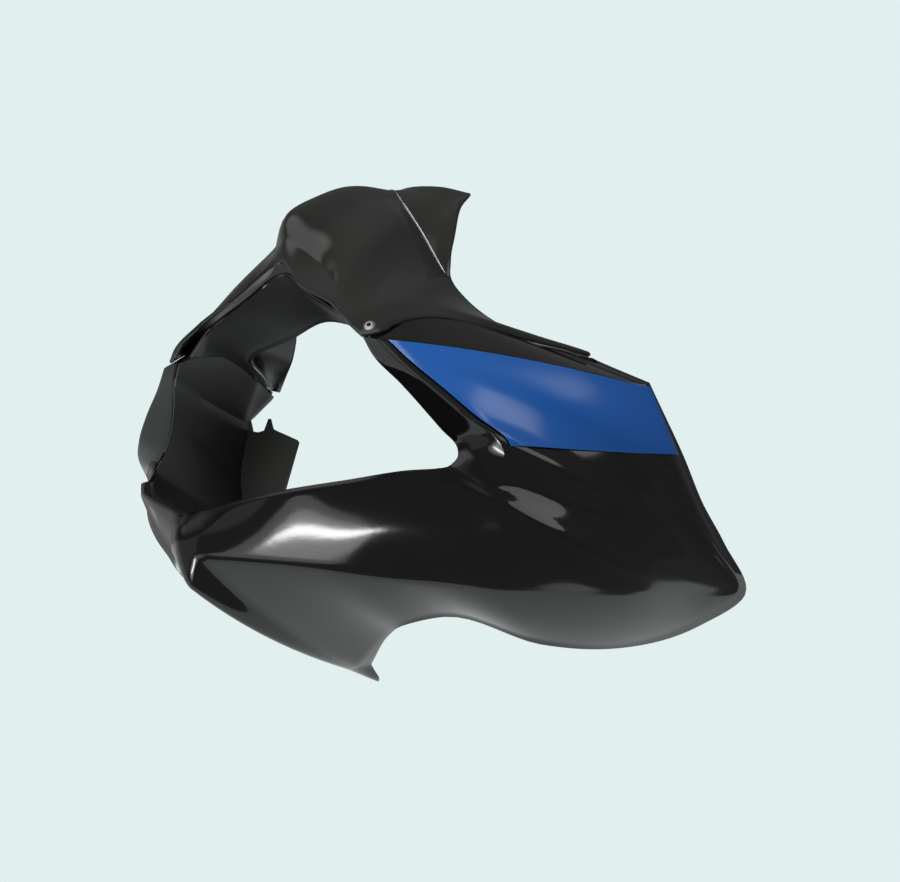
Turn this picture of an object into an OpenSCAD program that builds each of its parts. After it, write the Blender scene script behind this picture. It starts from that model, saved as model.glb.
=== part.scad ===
// Motorcycle headlight visor: a gloss cowl shell with a dark windscreen, two blue
// side films and two windscreen screws.
// Frame: +X is the rider's left, -Y is forward, +Z is up, millimetres.
// The origin is half way between the two bolt holes of the mounting ears, on their
// rear faces. The lines below are drawn from the lower point of the headlight
// opening instead; placed() moves them to the origin.

/* [Overall size] */
// Width across the rear corners of the flanks
visor_width = 384; // [340:1:430]
// Length from the prow to the rear corners
visor_length = 319; // [290:1:350]
// Height from the chin tip to the windscreen's tips
visor_height = 338; // [310:1:370]

/* [Shells] */
// Wall of the cowl
cowl_wall = 2.8; // [2.2:0.1:3.4]
// Wall of the windscreen
screen_wall = 2.4; // [2:0.1:3]
// Thickness of the side film
film_wall = 0.3; // [0.2:0.05:0.6]
// Air left under the film
seat_gap = 0.7; // [0.5:0.05:0.9]

/* [Fixings] */
// Diameter of the bolt hole in each mounting ear
ear_hole_d = 6.5; // [5:0.1:8]
// Thickness of each mounting ear
ear_wall = 3; // [2.5:0.1:4]
// Diameter of the windscreen screws
screw_d = 4.8; // [4:0.1:5]
// Diameter of the windscreen screws' heads
screw_head_d = 8; // [7:0.1:9]

/* [Hidden] */
eps = 0.01;
full = [visor_width / 384, visor_length / 319, visor_height / 338];
core = [0, 200, 20];          // point inside the visor that the bulges push away from
steps_round = 2;              // mesh steps between two stations round the opening
steps_side = 7;               // mesh steps down the side, crest to waist
steps_under = 4;              // mesh steps under the chin, waist to roll
under_bow = 0.045;            // bow of the chin's underside, share of its depth
valley_depth = 3.5;           // shallow channel that runs back from the opening's lower corner
valley_top = 8.05;            // station of its crisp upper edge
dome_fill = 4;                // fullness of the windscreen's haunches on the centre plane

// feature lines of the cowl, left half
// Each line runs from the prow, round the left side of the headlight opening, to the
// top of the opening; the stations of all six lines match.
edge = [[0, 0, 0], [5, 0, 2], [66, 22, 15], [93, 41, 20], [115, 57, 24], [131, 72, 26],
    [134, 78, 28], [136, 81, 32], [134, 83, 37], [123, 82, 48], [102, 72, 74], [89, 62, 91],
    [83, 60, 102], [86, 63, 104], [80, 66, 107], [60, 64, 121], [30, 68, 137], [0, 75, 153]];
crest = [[0, -1, -4], [6, 0, -1], [67, 22, 12], [94, 41, 17], [116, 58, 21], [134, 75, 23],
    [147, 88, 20], [160, 95, 30], [160, 88, 41], [145, 76, 55], [128, 69, 70], [107, 63, 88],
    [96, 59, 99], [97, 80, 111], [90, 84, 110], [64, 70, 119], [31, 74, 133], [0, 81, 148]];
middle = [[0, -3, -17], [8, -1, -14], [60, 27, -6], [87, 47, -6], [112, 66, -6], [140, 88, -8],
    [172, 114, -11], [183, 162, -8], [183, 173, 7], [178, 160, 30], [170, 146, 50],
    [160, 131, 66], [142, 121, 92], [106, 116, 116], [97, 116, 114], [66, 92, 116], [33, 92, 126],
    [0, 94, 140]];
waist = [[0, 5, -40], [10, 3, -24], [52, 35, -28], [78, 57, -32], [102, 81, -37], [136, 110, -40],
    [176, 160, -43], [186, 260, -46], [191, 294, -44], [196, 256, -16], [196, 230, 10],
    [194, 212, 35], [180, 200, 80], [128, 168, 105], [110, 150, 108], [67, 108, 115], [35, 108, 122],
    [0, 109, 131]];
roll = [[0, 137, -97], [10, 132, -94], [47, 119, -71], [68, 110, -63], [90, 123, -57],
    [129, 166, -73], [153, 216, -78], [176, 272, -65], [191, 302, -48], [195, 268, -16],
    [195, 241, 10], [193, 224, 36], [183, 206, 80], [142, 197, 99], [114, 160, 106],
    [67, 112, 115], [36, 112, 121], [0, 112, 130]];
rim = [[0, 164, -107], [10, 147, -94], [47, 124, -72], [68, 114, -65], [88, 128, -60],
    [127, 171, -77], [151, 223, -81], [174, 282, -69], [191, 311, -50], [194, 278, -15],
    [194, 250, 11], [192, 233, 37], [182, 209, 82], [150, 203, 97], [118, 170, 104],
    [67, 116, 114], [37, 116, 120], [0, 115, 128]];
// Stations at which the lines turn sharply: prow facet, shoulder and windscreen seat
cowl_corners = [1, 12, 13, 14];

// feature lines of the windscreen, left half
foot = [[0, 71, 158], [30, 61, 139], [59, 58, 125], [80, 54, 109], [87, 56, 102], [95, 63, 106],
    [97, 77, 113], [103, 105, 119], [112, 132, 116], [128, 168, 108], [147, 198, 101]];
ridge = [[0, 76, 173], [22, 84, 158], [58, 68, 132], [74, 63, 119], [80, 64, 117], [85, 74, 121],
    [88, 84, 124], [94, 106, 125], [109, 134, 120], [126, 168, 111], [145, 198, 103]];
dome = [[0, 101, 205], [19, 111, 194], [42, 116, 180], [58, 109, 157], [66, 105, 147], [73, 107, 142],
    [79, 112, 139], [87, 128, 133], [103, 150, 122], [123, 178, 112], [144, 200, 103]];
brow = [[0, 174, 225], [14, 170, 214], [29, 166, 198], [43, 162, 182], [54, 158, 169],
    [64, 154, 158], [70, 152, 152], [78, 158, 139], [96, 171, 122], [120, 186, 110], [143, 202, 102]];
wing = [[0, 186, 228], [22, 187, 222], [42, 187, 212], [51, 175, 198], [58, 165, 181],
    [66, 156, 163], [71, 153, 151], [79, 160, 138], [97, 174, 121], [120, 188, 109], [142, 203, 101]];
lip = [[0, 192, 231], [26, 195, 228], [50, 199, 220], [55, 182, 208], [61, 169, 187],
    [67, 157, 165], [72, 154, 150], [79, 162, 137], [97, 176, 120], [120, 190, 108], [141, 204, 101]];
screen_corners = [2, 4, 10];

// curves
function scaled(p) = [p.x * full.x, p.y * full.y, p.z * full.z];
function mirrored(p) = [-p.x, p.y, p.z];
function has(list, i) = len([for (q = list) if (q == i) 1]) > 0;
function mix(a, b, t) = a + (b - a) * t;
function unit(v) = v / max(norm(v), eps / 100);

// Station i of a line; a line that ends on the centre plane carries on as its mirror image
function station(line, i) =
    i < 0 ? mirrored(line[-i])
    : i < len(line) ? line[i]
    : mirrored(line[2 * len(line) - 2 - i]);

// Chord-length tangent at b between a and c, per millimetre
function tangent(a, b, c) =
    let (d0 = max(norm(b - a), eps), d1 = max(norm(c - b), eps))
    ((b - a) / d0 * d1 + (c - b) / d1 * d0) / (d0 + d1);

// Point at parameter s of a line, smooth but for its corners
function on_line(line, s, corners) =
    let (i = min(floor(s), len(line) - 2), t = s - i,
        a = station(line, i - 1), b = station(line, i), c = station(line, i + 1), d = station(line, i + 2),
        size = norm(c - b),
        m0 = has(corners, i) ? c - b : tangent(a, b, c) * size,
        m1 = has(corners, i + 1) ? c - b : tangent(b, c, d) * size)
    b * (2 * t * t * t - 3 * t * t + 1) + m0 * (t * t * t - 2 * t * t + t)
    + c * (3 * t * t - 2 * t * t * t) + m1 * (t * t * t - t * t);

// Parabola through a, b (half way) and c
function arch(a, b, c, t) = a * (1 - t) * (1 - 2 * t) + b * 4 * t * (1 - t) + c * t * (2 * t - 1);

// The same, fuller by "fill" millimetres at its two haunches
dome_core = [0, 150, 160];    // point inside the dome that the haunches push away from
function full_arch(a, b, c, fill, t) =
    let (p = arch(a, b, c, t)) p + unit(p - dome_core) * fill * pow(8 * t * (1 - t) * (1 - 2 * t), 2);

// Straight step from a to b, pushed out from the core by a share of its length
function bowed(a, b, share, t) =
    mix(a, b, t) + unit((a + b) / 2 - core) * norm(b - a) * share * 4 * t * (1 - t);

// the cowl's surface
// Depth of the channel at station s and row v: it deepens evenly down from its upper edge,
// rises again in a soft slope, and runs out along the flank
function valley(s, v) =
    let (deep = mix(6.5, 7.5, (v - 1.05) * 2),
        across = s > deep ? (valley_top - s) / (valley_top - deep) : 1 - (deep - s) / 0.9,
        along = min((v - 1) * 10, 1, (1.65 - v) * 4))
    valley_depth * max(0, min(1, across)) * max(0, along);

// s: station round the opening. v: 0 at the edge, 1 crest, 2 waist, 3 roll, 4 rim.
function cowl_point(s, v) = scaled(
    v <= 1 ? mix(on_line(edge, s, cowl_corners), on_line(crest, s, cowl_corners), v)
    : v <= 2 ? let (p = arch(on_line(crest, s, cowl_corners), on_line(middle, s, cowl_corners),
        on_line(waist, s, cowl_corners), v - 1)) p + unit(core - p) * valley(s, v)
    : v <= 3 ? bowed(on_line(waist, s, cowl_corners), on_line(roll, s, cowl_corners), under_bow, v - 2)
    : mix(on_line(roll, s, cowl_corners), on_line(rim, s, cowl_corners), v - 3));
cowl_rows = [0, 0.5, 1, for (i = [1 : steps_side]) 1 + i / steps_side,
    for (i = [1 : steps_under]) 2 + i / steps_under, 3.5, 4];
last_station = len(edge) - 1;
cowl_half = [for (i = [0 : last_station * steps_round]) i / steps_round];
// All round: up the right half from the prow, then down the left half
cowl_grid = concat(
    [for (s = cowl_half) [for (v = cowl_rows) mirrored(cowl_point(s, v))]],
    [for (i = [len(cowl_half) - 2 : -1 : 1]) [for (v = cowl_rows) cowl_point(cowl_half[i], v)]]);

// the windscreen's surface
// w: 0 at the foot, 1 ridge, 2 brow, 3 wing, 4 lip
function screen_point(s, w) = scaled(
    w <= 1 ? mix(on_line(foot, s, screen_corners), on_line(ridge, s, screen_corners), w)
    : w <= 2 ? full_arch(on_line(ridge, s, []), on_line(dome, s, []), on_line(brow, s, []),
        dome_fill * max(0, 1 - s / 5), w - 1)
    : w <= 3 ? mix(on_line(brow, s, []), on_line(wing, s, screen_corners), w - 2)
    : mix(on_line(wing, s, screen_corners), on_line(lip, s, screen_corners), w - 3));
screen_rows = [0, 1, for (i = [1 : 6]) 1 + i / 6, 2.5, 3, 4];
screen_half = [for (i = [0 : (len(foot) - 1) * 2]) i / 2];
screen_grid = concat(
    [for (i = [len(screen_half) - 1 : -1 : 1]) [for (w = screen_rows) mirrored(screen_point(screen_half[i], w))]],
    [for (s = screen_half) [for (w = screen_rows) screen_point(s, w)]]);

// thick sheets
// Neighbour of column i on a grid that closes on itself, or stops at its ends
function column(grid, i, closed) =
    closed ? grid[(i + len(grid)) % len(grid)] : grid[max(0, min(len(grid) - 1, i))];

function grid_normal(grid, i, j, closed) =
    let (rows = len(grid[0]),
        du = column(grid, i + 1, closed)[j] - column(grid, i - 1, closed)[j],
        dv = grid[i][min(j + 1, rows - 1)] - grid[i][max(j - 1, 0)])
    unit(cross(du, dv));

// Sheet with its outer face lifted off the grid by "out" and its inner face by "out - wall"
module sheet(grid, wall, out, closed) {
    cols = len(grid);
    rows = len(grid[0]);
    spans = closed ? cols : cols - 1;
    shell = [for (lift = [out, out - wall]) for (i = [0 : cols - 1]) for (j = [0 : rows - 1])
        grid[i][j] + grid_normal(grid, i, j, closed) * lift];
    function at(layer, i, j) = layer * cols * rows + (i % cols) * rows + j;
    faces = concat(
        [for (i = [0 : spans - 1]) for (j = [0 : rows - 2]) for (f = [
            [at(0, i, j), at(0, i, j + 1), at(0, i + 1, j + 1)], [at(0, i, j), at(0, i + 1, j + 1), at(0, i + 1, j)],
            [at(1, i, j), at(1, i + 1, j + 1), at(1, i, j + 1)], [at(1, i, j), at(1, i + 1, j), at(1, i + 1, j + 1)]]) f],
        [for (i = [0 : spans - 1]) for (f = [
            [at(0, i, 0), at(0, i + 1, 0), at(1, i + 1, 0)], [at(0, i, 0), at(1, i + 1, 0), at(1, i, 0)],
            [at(0, i, rows - 1), at(1, i + 1, rows - 1), at(0, i + 1, rows - 1)],
            [at(0, i, rows - 1), at(1, i, rows - 1), at(1, i + 1, rows - 1)]]) f],
        closed ? [] : [for (j = [0 : rows - 2]) for (f = [
            [at(0, 0, j), at(1, 0, j), at(1, 0, j + 1)], [at(0, 0, j), at(1, 0, j + 1), at(0, 0, j + 1)],
            [at(0, spans, j), at(1, spans, j + 1), at(1, spans, j)],
            [at(0, spans, j), at(0, spans, j + 1), at(1, spans, j + 1)]]) f]);
    polyhedron(shell, faces, convexity = 10);
}

// side film
// Across: from the shoulder down to the film's lower edge. Along: from the crest back to the roll.
film_top = 11.97;
film_low = 37.5;              // height of the film's lower edge
// Station between "low" and "high" where the row v of the cowl crosses the height z
function station_at(v, z, low, high, tries) =
    let (half = (low + high) / 2)
    tries == 0 ? half
    : cowl_point(half, v).z < z ? station_at(v, z, half, high, tries - 1)
    : station_at(v, z, low, half, tries - 1);
function film_point(a, b) =
    let (v = 1.04 + 1.9 * b)
    cowl_point(mix(film_top, station_at(v, film_low * full.z, 6, 12, 14), a), v);
film_grid = [for (i = [0 : 8]) [for (j = [0 : 14]) film_point(i / 8, j / 14)]];

// mounting ears
// A flat ear turned inwards behind each flank, outline in X and Z, with one bolt hole
ear_y = 210;
ear_hole = [166, 8];
ear_outline = [[185.8, -10], [186.2, 2], [187.5, 10], [189.4, 24], [190.6, 31], [190.6, 38],
    [188.6, 50], [185.6, 62], [183.2, 72], [170, 70], [163, 71], [158, 80], [155, 72], [153, 71],
    [128, 62], [126, 60], [139, 28], [150, 0], [156, -10]];

module ear() {
    translate([0, ear_y * full.y, 0]) rotate([90, 0, 0]) linear_extrude(ear_wall) difference() {
        polygon([for (p = ear_outline) [p.x * full.x, p.y * full.z]]);
        translate([ear_hole.x * full.x, ear_hole.y * full.z]) circle(d = ear_hole_d, $fn = 48);
    }
}

// windscreen screws
// Seat of the left screw's head on the windscreen's foot, and the way it points out
screw_seat = [87, 62.5, 107.3];
screw_tilt = [0, 60, -63];
screw_slack = 0.35;           // air round the shank and the head
screw_reach = 2.1;            // from the seat down to the cowl's face

module at_screw(side) {
    mirror([side > 0 ? 0 : 1, 0, 0])
        translate(scaled(screw_seat)) rotate(screw_tilt) children();
}

// nodes
module placed() {
    translate([0, -ear_y * full.y, -ear_hole.y * full.z]) children();
}

module cowl() {
    color([0.03, 0.03, 0.03]) placed() {
        sheet(cowl_grid, cowl_wall, 0, true);
        ear();
        mirror([1, 0, 0]) ear();
    }
}

module windscreen() {
    color([0.1, 0.1, 0.1]) placed() difference() {
        sheet(screen_grid, screen_wall, 0, false);
        for (side = [-1, 1]) at_screw(side) {
            translate([0, 0, -6]) cylinder(h = 8, d = screw_d + 2 * screw_slack, $fn = 36);
            cylinder(h = 6, d = screw_head_d + 2 * screw_slack, $fn = 36);
        }
    }
}

module side_film_left() {
    color([0.15, 0.36, 0.67]) placed() sheet(film_grid, film_wall, seat_gap + film_wall, false);
}

module side_film_right() {
    mirror([1, 0, 0]) side_film_left();
}

// Two round-headed screws with a hexagon socket
module windscreen_screws() {
    color([0.6, 0.6, 0.6]) placed() for (side = [-1, 1]) at_screw(side) translate([0, 0, 0.05]) difference() {
        union() {
            translate([0, 0, -screw_reach]) cylinder(h = screw_reach + eps, d = screw_d, $fn = 36);
            rotate_extrude($fn = 48) polygon([[0, 0], [screw_head_d / 2, 0], [screw_head_d / 2, 0.9],
                [screw_head_d * 0.42, 1.7], [screw_head_d * 0.28, 2.2], [0, 2.3]]);
        }
        translate([0, 0, 0.9]) cylinder(h = 3, d = screw_head_d * 0.38, $fn = 6);
    }
}

cowl();
windscreen();
side_film_left();
side_film_right();
windscreen_screws();
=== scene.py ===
"""Looks of the motorcycle headlight visor: smooth gloss shells drawn from the part's own lines,
in a pale studio. Lengths are in millimetres until they go into a mesh, and in metres after that."""

import math

import bpy
import numpy as np
from mathutils import Matrix, Vector


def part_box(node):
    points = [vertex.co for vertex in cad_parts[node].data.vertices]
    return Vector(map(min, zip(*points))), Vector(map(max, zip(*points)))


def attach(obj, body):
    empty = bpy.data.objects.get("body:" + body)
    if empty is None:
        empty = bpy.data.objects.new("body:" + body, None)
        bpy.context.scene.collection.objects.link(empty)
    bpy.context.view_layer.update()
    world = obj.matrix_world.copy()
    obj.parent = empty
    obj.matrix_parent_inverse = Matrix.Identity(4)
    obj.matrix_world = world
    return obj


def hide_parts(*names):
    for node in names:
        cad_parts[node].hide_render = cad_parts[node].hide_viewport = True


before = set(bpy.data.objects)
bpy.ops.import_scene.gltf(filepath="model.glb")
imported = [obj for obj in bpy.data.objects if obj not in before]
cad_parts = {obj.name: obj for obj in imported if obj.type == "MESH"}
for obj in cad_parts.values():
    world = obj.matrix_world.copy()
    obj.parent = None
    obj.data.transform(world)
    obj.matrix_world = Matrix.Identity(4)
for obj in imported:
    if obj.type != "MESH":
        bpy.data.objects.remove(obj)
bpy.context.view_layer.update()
# Columns of a shell between two stations of its lines
FINE = 8

ORIGIN = np.array([0.0, 210.0, 8.0])  # the row's origin, seen from the lines' own zero
COWL_WALL, SCREEN_WALL, FILM_WALL, SEAT_GAP = 2.8, 2.4, 0.3, 0.7

# Points that the faces bulge away from
CORE = np.array([0.0, 200.0, 20.0])
DOME_CORE = np.array([0.0, 150.0, 160.0])
# Bulge of the face under the waist, as a share of its length
UNDER_BOW = 0.045
# Channel behind the opening's lower corner: depth, the stations where it starts and where it is
# deepest, and how many stations it takes to fade out on the other side
VALLEY_DEPTH, VALLEY_TOP, VALLEY_FLOOR, VALLEY_FADE = 3.5, 8.05, 6.5, 0.9
# Extra fullness of the dome, and the station where it has faded out
DOME_FILL, DOME_FILL_END = 4.0, 5

# The part's lines, left half, from the prow to the top
EDGE = [[0, 0, 0], [5, 0, 2], [66, 22, 15], [93, 41, 20], [115, 57, 24], [131, 72, 26],
    [134, 78, 28], [136, 81, 32], [134, 83, 37], [123, 82, 48], [102, 72, 74], [89, 62, 91],
    [83, 60, 102], [86, 63, 104], [80, 66, 107], [60, 64, 121], [30, 68, 137], [0, 75, 153]]
CREST = [[0, -1, -4], [6, 0, -1], [67, 22, 12], [94, 41, 17], [116, 58, 21], [134, 75, 23],
    [147, 88, 20], [160, 95, 30], [160, 88, 41], [145, 76, 55], [128, 69, 70], [107, 63, 88],
    [96, 59, 99], [97, 80, 111], [90, 84, 110], [64, 70, 119], [31, 74, 133], [0, 81, 148]]
MIDDLE = [[0, -3, -17], [8, -1, -14], [60, 27, -6], [87, 47, -6], [112, 66, -6], [140, 88, -8],
    [172, 114, -11], [183, 162, -8], [183, 173, 7], [178, 160, 30], [170, 146, 50],
    [160, 131, 66], [142, 121, 92], [106, 116, 116], [97, 116, 114], [66, 92, 116], [33, 92, 126],
    [0, 94, 140]]
WAIST = [[0, 5, -40], [10, 3, -24], [52, 35, -28], [78, 57, -32], [102, 81, -37], [136, 110, -40],
    [176, 160, -43], [186, 260, -46], [191, 294, -44], [196, 256, -16], [196, 230, 10],
    [194, 212, 35], [180, 200, 80], [128, 168, 105], [110, 150, 108], [67, 108, 115], [35, 108, 122],
    [0, 109, 131]]
ROLL = [[0, 137, -97], [10, 132, -94], [47, 119, -71], [68, 110, -63], [90, 123, -57],
    [129, 166, -73], [153, 216, -78], [176, 272, -65], [191, 302, -48], [195, 268, -16],
    [195, 241, 10], [193, 224, 36], [183, 206, 80], [142, 197, 99], [114, 160, 106],
    [67, 112, 115], [36, 112, 121], [0, 112, 130]]
RIM = [[0, 164, -107], [10, 147, -94], [47, 124, -72], [68, 114, -65], [88, 128, -60],
    [127, 171, -77], [151, 223, -81], [174, 282, -69], [191, 311, -50], [194, 278, -15],
    [194, 250, 11], [192, 233, 37], [182, 209, 82], [150, 203, 97], [118, 170, 104],
    [67, 116, 114], [37, 116, 120], [0, 115, 128]]
# Stations where the cowl's lines turn sharply
COWL_CORNERS = (1, 12, 13, 14)

FOOT = [[0, 71, 158], [30, 61, 139], [59, 58, 125], [80, 54, 109], [87, 56, 102], [95, 63.5, 104.5],
    [97, 77, 111], [103, 105, 117], [112, 132, 114], [128, 168, 107], [147, 198, 101]]
RIDGE = [[0, 76, 173], [22, 84, 158], [58, 68, 132], [74, 63, 119], [80, 64, 117], [85, 74, 121],
    [88, 84, 124], [94, 106, 125], [109, 134, 120], [126, 168, 111], [145, 198, 103]]
DOME = [[0, 101, 205], [19, 111, 194], [42, 116, 180], [58, 109, 157], [66, 105, 147], [73, 107, 142],
    [79, 112, 139], [87, 128, 133], [103, 150, 122], [123, 178, 112], [144, 200, 103]]
BROW = [[0, 174, 225], [14, 170, 214], [29, 166, 198], [43, 162, 182], [54, 158, 169],
    [64, 154, 158], [70, 152, 152], [78, 158, 139], [96, 171, 122], [120, 186, 110], [143, 202, 102]]
WING = [[0, 186, 228], [22, 187, 222], [42, 187, 212], [51, 175, 198], [58, 165, 181],
    [66, 156, 163], [71, 153, 151], [79, 160, 138], [97, 174, 121], [120, 188, 109], [142, 203, 101]]
LIP = [[0, 192, 231], [26, 195, 228], [50, 199, 220], [55, 182, 208], [61, 169, 187],
    [67, 157, 165], [72, 154, 150], [79, 162, 137], [97, 176, 120], [120, 190, 108], [141, 204, 101]]
# Stations where the windscreen's lines turn sharply
SCREEN_CORNERS = (2, 4, 10)

DRAWN = dict(edge=EDGE, crest=CREST, middle=MIDDLE, waist=WAIST, roll=ROLL, rim=RIM,
    foot=FOOT, ridge=RIDGE, dome=DOME, brow=BROW, wing=WING, lip=LIP)
LINES = {name: np.array(points, float) for name, points in DRAWN.items()}
FLIP = np.array([-1.0, 1.0, 1.0])


def unit(v):
    return v / np.maximum(np.linalg.norm(v, axis=-1, keepdims=True), 1e-9)


def station(line, i):
    """Station i of a line, mirrored past both of its ends."""
    if i < 0:
        return line[-i] * FLIP
    if i < len(line):
        return line[i]
    return line[2 * len(line) - 2 - i] * FLIP


def tangent(a, b, c):
    """Direction of a smooth curve at b, for uneven steps."""
    d0, d1 = max(np.linalg.norm(b - a), 0.01), max(np.linalg.norm(c - b), 0.01)
    return ((b - a) / d0 * d1 + (c - b) / d1 * d0) / (d0 + d1)


def on_line(name, s, corners=()):
    """Point of a named line at station s, with straight ends at its sharp corners."""
    line = LINES[name]
    i = min(int(math.floor(s)), len(line) - 2)
    t = s - i
    a, b, c, d = (station(line, i + k) for k in (-1, 0, 1, 2))
    size = np.linalg.norm(c - b)
    m0 = c - b if i in corners else tangent(a, b, c) * size
    m1 = c - b if i + 1 in corners else tangent(b, c, d) * size
    return (b * (2 * t**3 - 3 * t * t + 1) + m0 * (t**3 - 2 * t * t + t)
            + c * (3 * t * t - 2 * t**3) + m1 * (t**3 - t * t))


def on_lines(names, s, corners=()):
    """Points of several named lines at one station."""
    return [on_line(name, s, corners) for name in names.split()]


def line_run(a, b):
    """Straight run from a to b."""
    return lambda t: a + (b - a) * t


def arch_run(a, b, c):
    """Curved run from a through b, half way, to c."""
    return lambda t: a * (1 - t) * (1 - 2 * t) + b * 4 * t * (1 - t) + c * t * (2 * t - 1)


def valley(s, v):
    """Depth of the shallow channel behind the opening's lower corner."""
    deep = VALLEY_FLOOR + (v - 1.05) * 2
    across = (VALLEY_TOP - s) / (VALLEY_TOP - deep) if s > deep else 1 - (deep - s) / VALLEY_FADE
    along = min((v - 1) * 10, 1, (1.65 - v) * 4)
    return VALLEY_DEPTH * max(0, min(1, across)) * max(0, along)


def flank_run(a, b, c, s):
    """Arch of the flank, with the channel sunk in it."""
    arch = arch_run(a, b, c)

    def run(t):
        p = arch(t)
        return p + unit(CORE - p) * valley(s, 1 + t)
    return run


def dome_run(a, b, c, fill):
    """Arch of the dome, filled out half way between its lines."""
    arch = arch_run(a, b, c)

    def run(t):
        p = arch(t)
        return p + unit(p - DOME_CORE) * fill * (8 * t * (1 - t) * (1 - 2 * t)) ** 2
    return run


def bow_run(a, b, share):
    """Run from a to b that bulges outwards by a share of its length."""
    push = unit((a + b) / 2 - CORE) * np.linalg.norm(b - a) * share
    return lambda t: a + (b - a) * t + push * 4 * t * (1 - t)


def profile(runs, counts, rounds, arc=4):
    """Points down one section: runs joined at corners that are rounded off over the given
    lengths. Every section has the same number of points."""
    points = []
    cuts = []
    for k, run in enumerate(runs):
        length = max(np.linalg.norm(run(1.0) - run(0.0)), 0.1)
        before = rounds[k - 1] if k else 0
        after = rounds[k] if k < len(rounds) else 0
        cuts.append([min(0.4, before / length), min(0.4, after / length)])
    for k, run in enumerate(runs):
        lo, hi = cuts[k][0], 1 - cuts[k][1]
        points += [run(lo + (hi - lo) * i / counts[k]) for i in range(counts[k] + 1)]
        if k < len(runs) - 1:
            a, corner, b = run(hi), run(1.0), runs[k + 1](cuts[k + 1][0])
            for i in range(1, arc):
                t = i / arc
                points.append(a * (1 - t) ** 2 + corner * 2 * t * (1 - t) + b * t * t)
    return np.array(points)


def cowl_section(s):
    """Section of the cowl from the opening's edge to the rim."""
    edge, crest, middle, waist, roll, rim = on_lines("edge crest middle waist roll rim", s, COWL_CORNERS)
    runs = [line_run(edge, crest), flank_run(crest, middle, waist, s), bow_run(waist, roll, UNDER_BOW),
            line_run(roll, rim)]
    return profile(runs, counts=(4, 26, 12, 3), rounds=(2.0, 4.0, 3.0))


def cowl_point(s, v):
    """The cowl's face without its rounding: v is 1 at the crest, 2 at the waist, 3 at the roll."""
    crest, middle, waist, roll = on_lines("crest middle waist roll", s, COWL_CORNERS)
    if v <= 2:
        return flank_run(crest, middle, waist, s)(v - 1)
    return bow_run(waist, roll, UNDER_BOW)(v - 2)


def screen_section(s):
    """Section of the windscreen from its foot to its lip."""
    foot, ridge, wing, lip = on_lines("foot ridge wing lip", s, SCREEN_CORNERS)
    # The dome and the flat under the wing run smooth through the foot's corners
    smooth_ridge, dome, brow, smooth_wing = on_lines("ridge dome brow wing", s)
    fill = DOME_FILL * max(0, 1 - s / DOME_FILL_END)
    runs = [line_run(foot, ridge), dome_run(smooth_ridge, dome, brow, fill), line_run(brow, smooth_wing),
            line_run(wing, lip)]
    return profile(runs, counts=(3, 22, 4, 3), rounds=(2.5, 1.2, 1.5))


def half_sections(section, line):
    """A section at every step of the left half, from the middle outwards."""
    last = len(line) - 1
    return [section(i / FINE) for i in range(last * FINE + 1)]


def noise_node(nodes, links, place, scale, detail):
    """Noise over a surface, as the output to link from."""
    noise = nodes.new("ShaderNodeTexNoise")
    noise.inputs["Scale"].default_value = scale
    noise.inputs["Detail"].default_value = detail
    links.new(place, noise.inputs["Vector"])
    return noise.outputs["Fac"]


def material(name, color, roughness, specular=0.5, metallic=0.0, vary=0.12, grain=(320, 0.012),
        stretch=(1, 1, 1)):
    """A moulded or drawn surface: the gloss wanders a little over it, and a fine grain lies on top.
    The grain is given as cells a metre and strength."""
    m = bpy.data.materials.new(name)
    m.use_nodes = True
    nodes, links = m.node_tree.nodes, m.node_tree.links
    shader = nodes["Principled BSDF"]
    shader.inputs["Base Color"].default_value = (*color, 1)
    shader.inputs["Specular IOR Level"].default_value = specular
    shader.inputs["Metallic"].default_value = metallic
    coords = nodes.new("ShaderNodeTexCoord")
    mapping = nodes.new("ShaderNodeMapping")
    mapping.inputs["Scale"].default_value = stretch
    links.new(coords.outputs["Object"], mapping.inputs["Vector"])
    place = mapping.outputs["Vector"]
    span = nodes.new("ShaderNodeMapRange")
    span.inputs["From Min"].default_value = 0.3
    span.inputs["From Max"].default_value = 0.7
    span.inputs["To Min"].default_value = roughness * (1 - vary)
    span.inputs["To Max"].default_value = roughness * (1 + vary)
    links.new(noise_node(nodes, links, place, scale=24, detail=3), span.inputs["Value"])
    links.new(span.outputs["Result"], shader.inputs["Roughness"])
    grain_scale, grain_strength = grain
    bump = nodes.new("ShaderNodeBump")
    bump.inputs["Strength"].default_value = grain_strength
    bump.inputs["Distance"].default_value = 0.001
    links.new(noise_node(nodes, links, place, scale=grain_scale, detail=2), bump.inputs["Height"])
    links.new(bump.outputs["Normal"], shader.inputs["Normal"])
    return m


def add_piece(name, mesh):
    """Object for a finished mesh, riding the part's one body."""
    piece = bpy.data.objects.new(name, mesh)
    bpy.context.scene.collection.objects.link(piece)
    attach(piece, "root")
    return piece


def into_row(points, node):
    """Points from the lines' millimetres into the row's metres, kept inside the node's CAD box."""
    low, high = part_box(node)
    return np.clip((points - ORIGIN) / 1000, np.array(low), np.array(high))


def grid_normals(grid, closed):
    """Unit normals of a grid of points, which may close on itself."""
    if closed:
        du = np.roll(grid, -1, 0) - np.roll(grid, 1, 0)
    else:
        padded = np.concatenate([grid[:1], grid, grid[-1:]])
        du = padded[2:] - padded[:-2]
    rows = np.concatenate([grid[:, :1], grid, grid[:, -1:]], 1)
    dv = rows[:, 2:] - rows[:, :-2]
    return unit(np.cross(du, dv))


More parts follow.
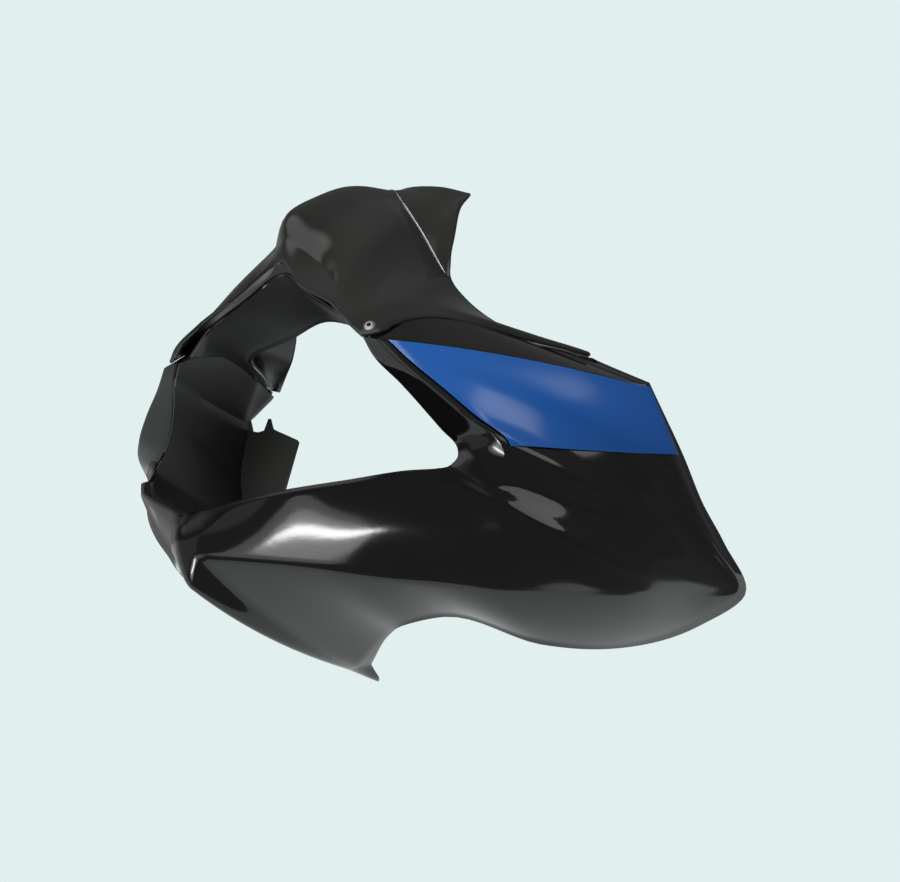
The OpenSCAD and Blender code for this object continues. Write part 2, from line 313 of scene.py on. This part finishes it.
def calm(normals, closed, turns):
    """Normals averaged with their neighbours, so that a thick wall doesn't fold inside a crease."""
    for _ in range(turns):
        rows = np.concatenate([normals[:, :1], normals, normals[:, -1:]], 1)
        normals = unit(rows[:, 2:] + rows[:, :-2] + 2 * normals)
        if closed:
            normals = unit(np.roll(normals, 1, 0) + np.roll(normals, -1, 0) + 2 * normals)
        else:
            cols = np.concatenate([normals[:1], normals, normals[-1:]])
            normals = unit(cols[2:] + cols[:-2] + 2 * normals)
    return normals


def nose(a, b, out, wall, steps):
    """Half-round free edge from face point a to face point b, pointing out."""
    arm = (a - b) / 2
    base = (a + b) / 2 - out * wall / 2
    turn = [math.pi * i / steps for i in range(steps + 1)]
    return [base + arm * math.cos(x) + out * wall / 2 * math.sin(x) for x in turn]


def shell(name, node, grid, wall, out, closed, outside, inside):
    """A thick shell with rounded edges over a grid of points [column][row], in the lines' frame.
    It replaces its CAD node. Its outer face lies "out" millimetres off the grid."""
    outer = grid + grid_normals(grid, closed) * out
    inner = grid + calm(grid_normals(grid, closed), closed, 6) * (out - wall)
    steps = 4
    columns = []
    for g, face, back_face in zip(grid, outer, inner):
        start = nose(back_face[0], face[0], unit(g[0] - g[1]), wall, steps)
        end = nose(face[-1], back_face[-1], unit(g[-1] - g[-2]), wall, steps)
        columns.append(start + list(face[1:-1]) + end + list(back_face[-2:0:-1]))
    cols, ring = len(columns), len(columns[0])
    first_inner = ring - (grid.shape[1] - 2) - 2
    faces, mats = [], []
    for c in range(cols if closed else cols - 1):
        d = (c + 1) % cols
        for r in range(ring):
            q = (r + 1) % ring
            faces.append((c * ring + r, c * ring + q, d * ring + q, d * ring + r))
            mats.append(1 if r >= first_inner else 0)
    if not closed:
        faces.append(tuple(range(ring - 1, -1, -1)))
        faces.append(tuple((cols - 1) * ring + r for r in range(ring)))
        mats += [0, 0]
    mesh = bpy.data.meshes.new(name)
    mesh.from_pydata(into_row(np.array(columns), node).reshape(-1, 3).tolist(), [], faces)
    mesh.materials.append(outside)
    mesh.materials.append(inside)
    mesh.polygons.foreach_set("material_index", mats)
    mesh.polygons.foreach_set("use_smooth", [True] * len(faces))
    mesh.validate()
    mesh.set_sharp_from_angle(angle=math.radians(32))
    mesh.update()
    piece = add_piece(name, mesh)
    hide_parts(node)
    return piece


gloss = material("cowl gloss black", (0.007, 0.0075, 0.007), 0.09)
back = material("cowl inner face", (0.032, 0.034, 0.031), 0.5, specular=0.25, grain=(600, 0.06))
smoke = material("windscreen smoke", (0.042, 0.044, 0.040), 0.10, specular=0.55)
smoke_back = material("windscreen inner face", (0.02, 0.02, 0.019), 0.3, specular=0.4, grain=(600, 0.04))
blue = material("film blue", (0.022, 0.155, 0.6), 0.2)
steel = material("screw steel", (0.5, 0.5, 0.5), 0.3, metallic=1.0, grain=(900, 0.08), stretch=(1, 1, 6))

half = half_sections(cowl_section, EDGE)
cowl_grid = np.array([section * FLIP for section in half] + half[-2:0:-1])
cowl = shell("cowl_shell", "cowl", cowl_grid, COWL_WALL, 0, True, gloss, back)

half = half_sections(screen_section, FOOT)
screen_grid = np.array([section * FLIP for section in half[:0:-1]] + half)
shell("windscreen_shell", "windscreen", screen_grid, SCREEN_WALL, 0, False,
    smoke, smoke_back)

# Crease between the windscreen's dome and its wing: radius of its bead, and the stations, counted
# from the middle, where it starts to fade, would be gone and stops
BEAD_RADIUS, BEAD_FULL, BEAD_GONE, BEAD_END = 0.7, 4.8, 6.0, 5.5


def crease_bead(name, steps, sides=16):
    """Fine raised line along the sharp crease between the windscreen's dome and its wing."""
    reach = [BEAD_END * (2 * i / steps - 1) for i in range(steps + 1)]
    line = np.array([on_line("brow", s) for s in reach])
    fade = np.array([min(1.0, (BEAD_GONE - abs(s)) / (BEAD_GONE - BEAD_FULL)) for s in reach])[:, None]
    along = unit(np.gradient(line, axis=0))
    out = unit(line - DOME_CORE)
    out = unit(out - along * (out * along).sum(1, keepdims=True))
    across = np.cross(along, out)
    turn = [2 * math.pi * k / sides for k in range(sides)]
    rings = np.stack([line + (out * math.cos(t) + across * math.sin(t)) * fade * BEAD_RADIUS
        for t in turn], 1)
    faces = []
    for c in range(steps):
        for k in range(sides):
            q = (k + 1) % sides
            faces.append((c * sides + k, c * sides + q, (c + 1) * sides + q, (c + 1) * sides + k))
    faces += [tuple(range(sides - 1, -1, -1)), tuple(steps * sides + k for k in range(sides))]
    mesh = bpy.data.meshes.new(name)
    mesh.from_pydata(into_row(rings, "windscreen").reshape(-1, 3).tolist(), [], faces)
    mesh.materials.append(smoke)
    mesh.polygons.foreach_set("use_smooth", [True] * len(faces))
    mesh.update()
    return add_piece(name, mesh)


bead = crease_bead("windscreen_crease", 11 * FINE)

# Side films: station of the upper edge, height of the lower one, and the first and last place
# across the cowl's face, which cowl_point counts from 1 at the crest to 3 at the roll
FILM_TOP, FILM_LOW = 11.97, 37.5
FILM_FROM, FILM_TO = 1.04, 2.94


def station_at(v, z):
    """Station where the cowl's face reaches the height z, at the place v across it."""
    low, high = 6.0, 12.0
    for _ in range(18):
        mid = (low + high) / 2
        if cowl_point(mid, v)[2] < z:
            low = mid
        else:
            high = mid
    return (low + high) / 2


def film_grid(across, along):
    """Grid of points on the cowl's face under the left film."""
    places = [FILM_FROM + (FILM_TO - FILM_FROM) * j / along for j in range(along + 1)]
    lows = [station_at(v, FILM_LOW) for v in places]
    return np.array([[cowl_point(FILM_TOP + (low - FILM_TOP) * i / across, v) for v, low in zip(places, lows)]
        for i in range(across + 1)])


left_grid = film_grid(24, 40)
films = []
for side, grid in (("left", left_grid), ("right", (left_grid * FLIP)[::-1])):
    node = "side_film_" + side
    film = shell(node + "_skin", node, grid, FILM_WALL, SEAT_GAP + FILM_WALL, False, blue, blue)
    films.append(film)

# Mounting ears: the hole's centre and the outline are given across and up
EAR_WALL, EAR_HOLE, EAR_HOLE_D = 3.0, (166.0, 8.0), 6.5
EAR_OUTLINE = [[185.8, -10], [186.2, 2], [187.5, 10], [189.4, 24], [190.6, 31], [190.6, 38],
    [188.6, 50], [185.6, 62], [183.2, 72], [170, 70], [163, 71], [158, 80], [155, 72], [153, 71],
    [128, 62], [126, 60], [139, 28], [150, 0], [156, -10]]


def circle(radius, count):
    """Points of a circle round zero."""
    turns = [2 * math.pi * i / count for i in range(count)]
    return [(radius * math.cos(a), radius * math.sin(a)) for a in turns]


def ear(name, side):
    """Flat ear behind one flank, with its bolt hole."""
    curve = bpy.data.curves.new(name, "CURVE")
    curve.dimensions = "2D"
    curve.fill_mode = "BOTH"
    hole = [(EAR_HOLE[0] + x, EAR_HOLE[1] + z) for x, z in circle(EAR_HOLE_D / 2, 32)]
    for outline in (EAR_OUTLINE, hole):
        spline = curve.splines.new("POLY")
        spline.points.add(len(outline) - 1)
        for p, (x, z) in zip(spline.points, outline):
            p.co = (side * x / 1000, (z - ORIGIN[2]) / 1000, 0, 1)
        spline.use_cyclic_u = True
    curve.extrude = EAR_WALL / 2000
    flat = bpy.data.objects.new(name + "_curve", curve)
    bpy.context.scene.collection.objects.link(flat)
    bpy.context.view_layer.update()
    mesh = bpy.data.meshes.new_from_object(flat.evaluated_get(bpy.context.evaluated_depsgraph_get()))
    bpy.data.objects.remove(flat)
    mesh.transform(Matrix.Translation((0, -EAR_WALL / 2000, 0)) @ Matrix.Rotation(math.pi / 2, 4, "X"))
    mesh.name = name
    mesh.materials.clear()
    mesh.materials.append(back)
    return add_piece(name, mesh)


ears = [ear("ear_left", 1), ear("ear_right", -1)]

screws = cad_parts["windscreen_screws"]
screws.data.materials.clear()
screws.data.materials.append(steel)
screws.data.polygons.foreach_set("use_smooth", [True] * len(screws.data.polygons))
screws.data.set_sharp_from_angle(angle=math.radians(30))

# Studio, in metres
PALE = (0.76, 0.863, 0.863)
GREY = (0.145, 0.15, 0.15)
FLOOR_Z, FLOOR_R = -0.46, 14.0
WALL_R, WALL_TOP = 12.0, 8.0


def glow(name, color):
    """Material that only shines, evenly."""
    m = bpy.data.materials.new(name)
    m.use_nodes = True
    nodes, links = m.node_tree.nodes, m.node_tree.links
    nodes.clear()
    output = nodes.new("ShaderNodeOutputMaterial")
    emission = nodes.new("ShaderNodeEmission")
    emission.inputs["Color"].default_value = (*color, 1)
    links.new(emission.outputs[0], output.inputs["Surface"])
    return m


def stage_piece(name, points, faces, color, seen):
    """A glowing piece of the studio: seen by the camera alone, or by the gloss alone."""
    mesh = bpy.data.meshes.new(name)
    mesh.from_pydata(points, [], faces)
    mesh.materials.append(glow(name + " glow", color))
    piece = bpy.data.objects.new(name, mesh)
    bpy.context.scene.collection.objects.link(piece)
    piece.visible_camera = seen
    piece.visible_diffuse = piece.visible_glossy = piece.visible_transmission = not seen
    piece.visible_shadow = False
    return piece


# Pale floor and round wall for the camera
ROUND = 64
stage_piece("floor", [(x, y, FLOOR_Z) for x, y in circle(FLOOR_R, ROUND)], [tuple(range(ROUND))], PALE, True)
wall = [(x, y, z) for x, y in circle(WALL_R, ROUND) for z in (FLOOR_Z, WALL_TOP)]
wall_faces = []
for i in range(ROUND):
    here, there = 2 * i, 2 * ((i + 1) % ROUND)
    wall_faces.append((here, there, there + 1, here + 1))
stage_piece("backdrop", wall, wall_faces, PALE, True)

# The gloss sees a bright floor behind a slanting line and a dim one in front of it
LINE_OUT, LINE_AT = math.radians(-31), 0.18


def beyond(across, along):
    """Floor point "across" metres past the slanting line and "along" metres down it."""
    c, s = math.cos(LINE_OUT), math.sin(LINE_OUT)
    d = LINE_AT + across
    return (c * d - s * along, s * d + c * along, FLOOR_Z)


def floor_strip(name, width, color):
    """Floor that only the gloss sees, from the slanting line to so many metres past it."""
    corners = [beyond(0, -5), beyond(0, 5), beyond(width, 5), beyond(width, -5)]
    stage_piece(name, corners, [(0, 1, 2, 3)], color, False)


floor_strip("floor_bright", -5, (0.86, 0.91, 0.89))
floor_strip("floor_dim", 6, GREY)
# Half-bright sector of the floor in front: its point, and its corners' bearings and distances
FAN_X, FAN_Y = 0.05, -0.2
FAN_CORNERS = ((-89, 0.5), (-89, 5.0), (-125, 5.0), (-125, 0.5))
fan = [(FAN_X + r * math.cos(math.radians(a)), FAN_Y + r * math.sin(math.radians(a)), FLOOR_Z + 0.001)
       for a, r in FAN_CORNERS]
stage_piece("floor_half", fan, [(0, 1, 2, 3)], (0.44, 0.46, 0.45), False)


def direction(azimuth, elevation):
    """Unit vector at an azimuth, from +X towards +Y, and an elevation, in degrees."""
    a, e = math.radians(azimuth), math.radians(elevation)
    return Vector((math.cos(a) * math.cos(e), math.sin(a) * math.cos(e), math.sin(e)))


# Soft lobes of the surroundings: centre, angle of the full part, angle of its end, brightness
LOBES = [((0, 90), 12, 50, 0.08), ((-82, 39), 20, 42, 1.15), ((-170, 4), 10, 44, 0.36)]
DIM = 0.11


def surroundings():
    """World of even dim light with the soft lobes added."""
    world = bpy.data.worlds.new("studio")
    bpy.context.scene.world = world
    world.use_nodes = True
    nodes, links = world.node_tree.nodes, world.node_tree.links
    nodes.clear()
    coords = nodes.new("ShaderNodeTexCoord")
    total = None
    for centre, full_part, end, bright in LOBES:
        dot = nodes.new("ShaderNodeVectorMath")
        dot.operation = "DOT_PRODUCT"
        dot.inputs[1].default_value = direction(*centre)
        links.new(coords.outputs["Generated"], dot.inputs[0])
        span = nodes.new("ShaderNodeMapRange")
        span.interpolation_type = "SMOOTHSTEP"
        span.inputs["From Min"].default_value = math.cos(math.radians(end))
        span.inputs["From Max"].default_value = math.cos(math.radians(full_part))
        span.inputs["To Min"].default_value = 0.0
        span.inputs["To Max"].default_value = bright
        links.new(dot.outputs["Value"], span.inputs["Value"])
        add = nodes.new("ShaderNodeMath")
        add.operation = "ADD"
        add.inputs[1].default_value = DIM
        links.new(span.outputs["Result"], add.inputs[0])
        if total:
            links.new(total.outputs[0], add.inputs[1])
        total = add
    light = nodes.new("ShaderNodeBackground")
    light.inputs["Color"].default_value = (0.98, 1.0, 0.98, 1)
    links.new(total.outputs[0], light.inputs["Strength"])
    output = nodes.new("ShaderNodeOutputWorld")
    links.new(light.outputs[0], output.inputs["Surface"])


surroundings()


def area_light(name, shape, size, radiance, pieces):
    """An area light of even radiance that the camera doesn't see. It lights these pieces and no
    others, as a flagged studio light does."""
    data = bpy.data.lights.new(name, "AREA")
    data.shape = shape
    data.size, data.size_y = size
    data.energy = radiance * math.pi * size[0] * size[1]
    lamp = bpy.data.objects.new(name, data)
    bpy.context.scene.collection.objects.link(lamp)
    lamp.visible_camera = False
    group = bpy.data.collections.new(name + " lights")
    for piece in pieces:
        group.objects.link(piece)
    lamp.light_linking.receiver_collection = group
    return lamp


def softbox(name, pieces, aim, azimuth, elevation, distance, size, radiance, shift=(0, 0), shape="RECTANGLE"):
    """A soft light facing the aim point. It stands "distance" metres off it, and is shifted in its
    own plane by so many metres across, towards growing azimuth, and up."""
    lamp = area_light(name, shape, size, radiance, pieces)
    out = direction(azimuth, elevation)
    across = direction(azimuth + 90, 0)
    up = out.cross(across)
    turned = Matrix((across, up, out)).transposed().to_4x4()
    place = Vector(aim) + out * distance + across * shift[0] + up * shift[1]
    lamp.matrix_world = Matrix.Translation(place) @ turned


def low_light(name, spot, size, turn, radiance):
    """A small flat oval light under the chin, facing up, turned by so many degrees."""
    lamp = area_light(name, "ELLIPSE", size, radiance * math.pi / 4, [cowl])
    lamp.location = spot
    lamp.rotation_euler = (math.pi, 0, math.radians(turn))


FILM_MIDDLE = (0.16, -0.075, 0.058)
FILM_FRONT = (0.10, -0.13, 0.09)
softbox("film box", films, FILM_MIDDLE, 25, 36, 1.5, (0.36, 0.62), 2.2, (0.22, 0.42))
softbox("film key", films, FILM_FRONT, -70, 40, 0.45, (0.3, 0.3), 2.0)
# One soft-edged oval, made of three that lie on each other
for share in (1.1, 0.85, 0.6):
    size = (0.39 * share, 0.20 * share)
    softbox("side box", [cowl], FILM_MIDDLE, 25, 36, 0.3, size, 1.25, (-0.15, -0.09), "ELLIPSE")
softbox("crease light", [bead], (0.05, -0.04, 0.18), 20, 84, 1.0, (0.5, 0.5), 20)
softbox("ear fill", ears, (-0.15, 0.0, 0.0), -60, 15, 1.0, (0.6, 0.6), 8.5)
low_light("chin strip", (0.172, -0.429, -0.35), (0.145, 0.028), 29, 26)
low_light("chin glow", (0.165, -0.435, -0.36), (0.15, 0.13), 31, 2.4)
low_light("chin haze", (0.155, -0.470, -0.37), (0.19, 0.26), 31, 1.3)

# Camera: the photograph is 900 pixels wide, and its lens is as long as 1300 of them. The horizon
# lies 99 pixels below the middle
PHOTO_WIDTH, LENS_PIXELS, HORIZON_PIXELS = 900, 1300, 99
SENSOR = 36.0
CAMERA_AT = (0.5932, -0.6797, -0.0216)
VIEW, PITCH = math.radians(40), math.atan(HORIZON_PIXELS / LENS_PIXELS)
camera = bpy.data.cameras.new("camera")
camera.sensor_width = SENSOR
camera.lens = SENSOR * LENS_PIXELS / PHOTO_WIDTH
camera.clip_start, camera.clip_end = 0.01, 100
cam = bpy.data.objects.new("camera", camera)
bpy.context.scene.collection.objects.link(cam)
right = Vector((math.cos(VIEW), math.sin(VIEW), 0))
forward = Vector((-math.sin(VIEW) * math.cos(PITCH), math.cos(VIEW) * math.cos(PITCH), math.sin(PITCH)))
upward = right.cross(forward)
turned = Matrix((right, upward, -forward)).transposed().to_4x4()
cam.matrix_world = Matrix.Translation(CAMERA_AT) @ turned
bpy.context.scene.camera = cam
bpy.context.scene.view_settings.view_transform = "Standard"
